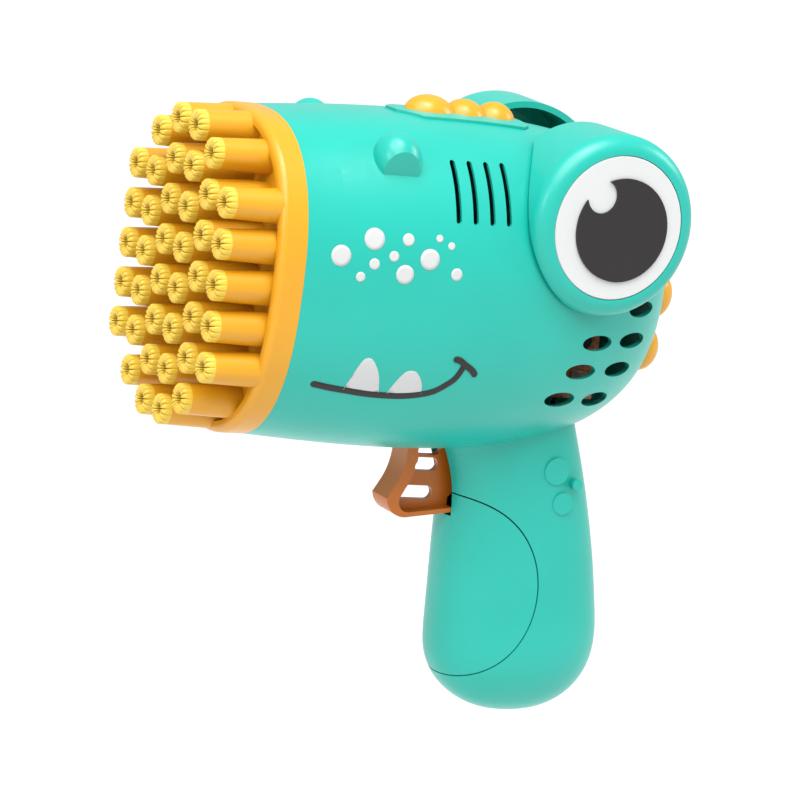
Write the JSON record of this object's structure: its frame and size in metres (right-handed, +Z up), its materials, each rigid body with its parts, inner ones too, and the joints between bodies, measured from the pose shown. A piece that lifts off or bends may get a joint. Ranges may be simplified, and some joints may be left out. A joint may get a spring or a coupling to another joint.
{
  "type": "bubble machine",
  "caption": "Hand-held battery bubble machine shaped like a cartoon creature, with a many-tube nozzle, two round eye pods, a trigger grip, a blower and a battery door.",
  "frame": {"origin": "middle of the hand grip, on the plane where the two shell halves meet", "axes": "+X from the muzzle to the tail, -Y the creature's left side, +Z up"},
  "size_m": [0.176, 0.0952, 0.1951],
  "materials": {
    "teal_plastic": "satin",
    "yellow_plastic": "satin",
    "amber_plastic": "satin",
    "white_plastic": "gloss",
    "black_gloss": "gloss",
    "grey_plastic": "matte",
    "black_plastic": "matte",
    "steel": "satin",
    "brass": "satin",
    "phenolic_board": "matte",
    "battery_sleeve": "gloss",
    "red_lead": "satin",
    "black_lead": "satin"
  },
  "bodies": {
    "housing": {"shell_left": "teal_plastic", "shell_right": "teal_plastic", "body_screws": "steel", "nozzle_cap": "yellow_plastic", "bubble_tubes": "yellow_plastic", "bubble_tips": "yellow_plastic", "eye_pod_left": "teal_plastic", "eye_pod_right": "teal_plastic", "eye_white_left": "white_plastic", "eye_white_right": "white_plastic", "pupil_left": "black_gloss", "pupil_right": "black_gloss", "crest_panel": "teal_plastic", "crest_scales": "yellow_plastic", "tail_scales": "yellow_plastic", "trigger_spring": "steel", "switch_body": "black_plastic", "switch_legs": "brass", "fan_housing": "grey_plastic", "motor_can": "steel", "motor_end_cap": "white_plastic", "motor_tags": "brass", "circuit_board": "phenolic_board", "board_plug": "white_plastic", "board_parts": "black_plastic", "motor_lead_red": "red_lead", "motor_lead_black": "black_lead", "battery_lead_red": "red_lead", "battery_lead_black": "black_lead", "battery_cell_1": "battery_sleeve", "battery_cell_2": "battery_sleeve", "battery_cell_3": "battery_sleeve", "contact_springs": "steel", "contact_plates": "steel", "battery_bay": "black_plastic"},
    "trigger": {"trigger": "amber_plastic"},
    "switch_plunger": {"switch_plunger": "black_plastic"},
    "fan": {"impeller": "white_plastic", "motor_shaft": "steel"},
    "door": {"battery_door": "teal_plastic", "door_screw": "steel"}
  },
  "joints": [
    {"name": "trigger_pull", "type": "slide", "parent": "housing", "child": "trigger", "axis": [1, 0, 0], "range_m": [0, 0.0035], "stiffness_N_per_m": 400, "springref_m": -0.002, "deforming": ["trigger_spring"]},
    {"name": "plunger_lift", "type": "slide", "parent": "housing", "child": "switch_plunger", "axis": [0, 0, 1], "range_m": [0, 0.00105]},
    {"name": "fan_spin", "type": "hinge", "parent": "housing", "child": "fan", "pos_m": [-0.0765, 0, 0.1], "axis": [-1, 0, 0], "continuous": true},
    {"name": "door_off", "type": "slide", "parent": "housing", "child": "door", "axis": [-0.9848, 0, -0.1736], "range_m": [0, 0.04]}
  ],
  "couplings": [
    {"joint": "plunger_lift", "follows": "trigger_pull", "ratio": 0.3}
  ]
}
